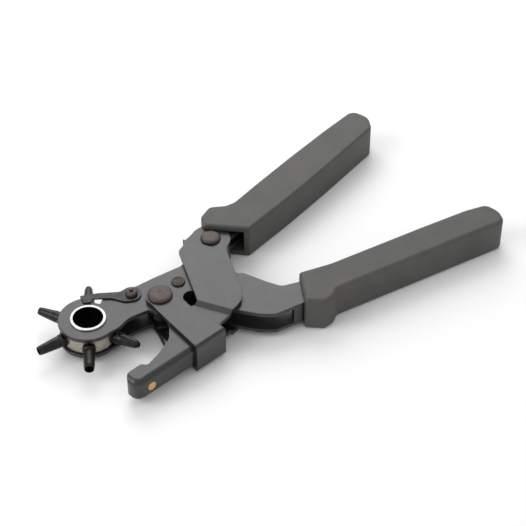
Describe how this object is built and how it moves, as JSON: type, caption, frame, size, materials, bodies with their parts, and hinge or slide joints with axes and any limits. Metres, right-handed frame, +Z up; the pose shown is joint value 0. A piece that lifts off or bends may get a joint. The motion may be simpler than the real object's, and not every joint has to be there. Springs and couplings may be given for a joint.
{
  "type": "rotary hole punch",
  "caption": "Compound-action hand punch with a six-tube revolving wheel, brass anvil, folded steel levers and plastic grips.",
  "frame": {"origin": "bottom centre of the open tool's box as it lies flat; +Z up, with the grips and the rivet head resting at Z 0", "axes": "+X along the lower handle, from the punch wheel to the handle's end; +Y towards the upper handle; +Z up along every pivot"},
  "size_m": [0.251, 0.1256, 0.0205],
  "materials": {
    "coated_steel": "satin black oxide",
    "rivet_steel": "dark browned",
    "nickel_plate": "bright nickel",
    "drum_steel": "satin zinc",
    "tube_steel": "gunmetal",
    "spring_steel": "blued",
    "brass": "satin",
    "grip_plastic": "fine matte"
  },
  "bodies": {
    "punch_lever": {"lever_frame": "coated_steel", "main_rivet": "rivet_steel", "link_rivet": "rivet_steel", "main_bush": "drum_steel", "lower_grip": "grip_plastic", "wheel_eyelet": "nickel_plate", "latch_spring": "spring_steel", "latch_screw": "rivet_steel"},
    "anvil_side": {"anvil_lever": "coated_steel", "stirrup": "coated_steel", "brass_anvil": "brass", "handle_rivet": "rivet_steel", "return_spring": "spring_steel"},
    "upper_handle": {"handle_core": "coated_steel", "handle_bush": "drum_steel", "upper_grip": "grip_plastic"},
    "punch_wheel": {"wheel_drum": "drum_steel", "punch_tube_1": "tube_steel", "punch_tube_2": "tube_steel", "punch_tube_3": "tube_steel", "punch_tube_4": "tube_steel", "punch_tube_5": "tube_steel", "punch_tube_6": "tube_steel"}
  },
  "joints": [
    {"name": "jaw_close", "type": "hinge", "parent": "punch_lever", "child": "anvil_side", "pos_m": [-0.05922, -0.01591, 0.01], "axis": [0, 0, -1], "range_deg": [0, 20], "stiffness_Nm_per_rad": 1.2, "springref_deg": -20.05, "deforming": ["return_spring"]},
    {"name": "handle_turn", "type": "hinge", "parent": "anvil_side", "child": "upper_handle", "pos_m": [-0.01562, 0.01129, 0.01], "axis": [0, 0, -1], "range_deg": [0, 7.95]},
    {"name": "wheel_turn", "type": "hinge", "parent": "punch_lever", "child": "punch_wheel", "pos_m": [-0.09682, -0.01071, 0.01], "axis": [0, 0, 1], "continuous": true, "deforming": ["latch_spring"]}
  ],
  "couplings": [
    {"joint": "handle_turn", "follows": "jaw_close", "ratio": 0.3975}
  ]
}
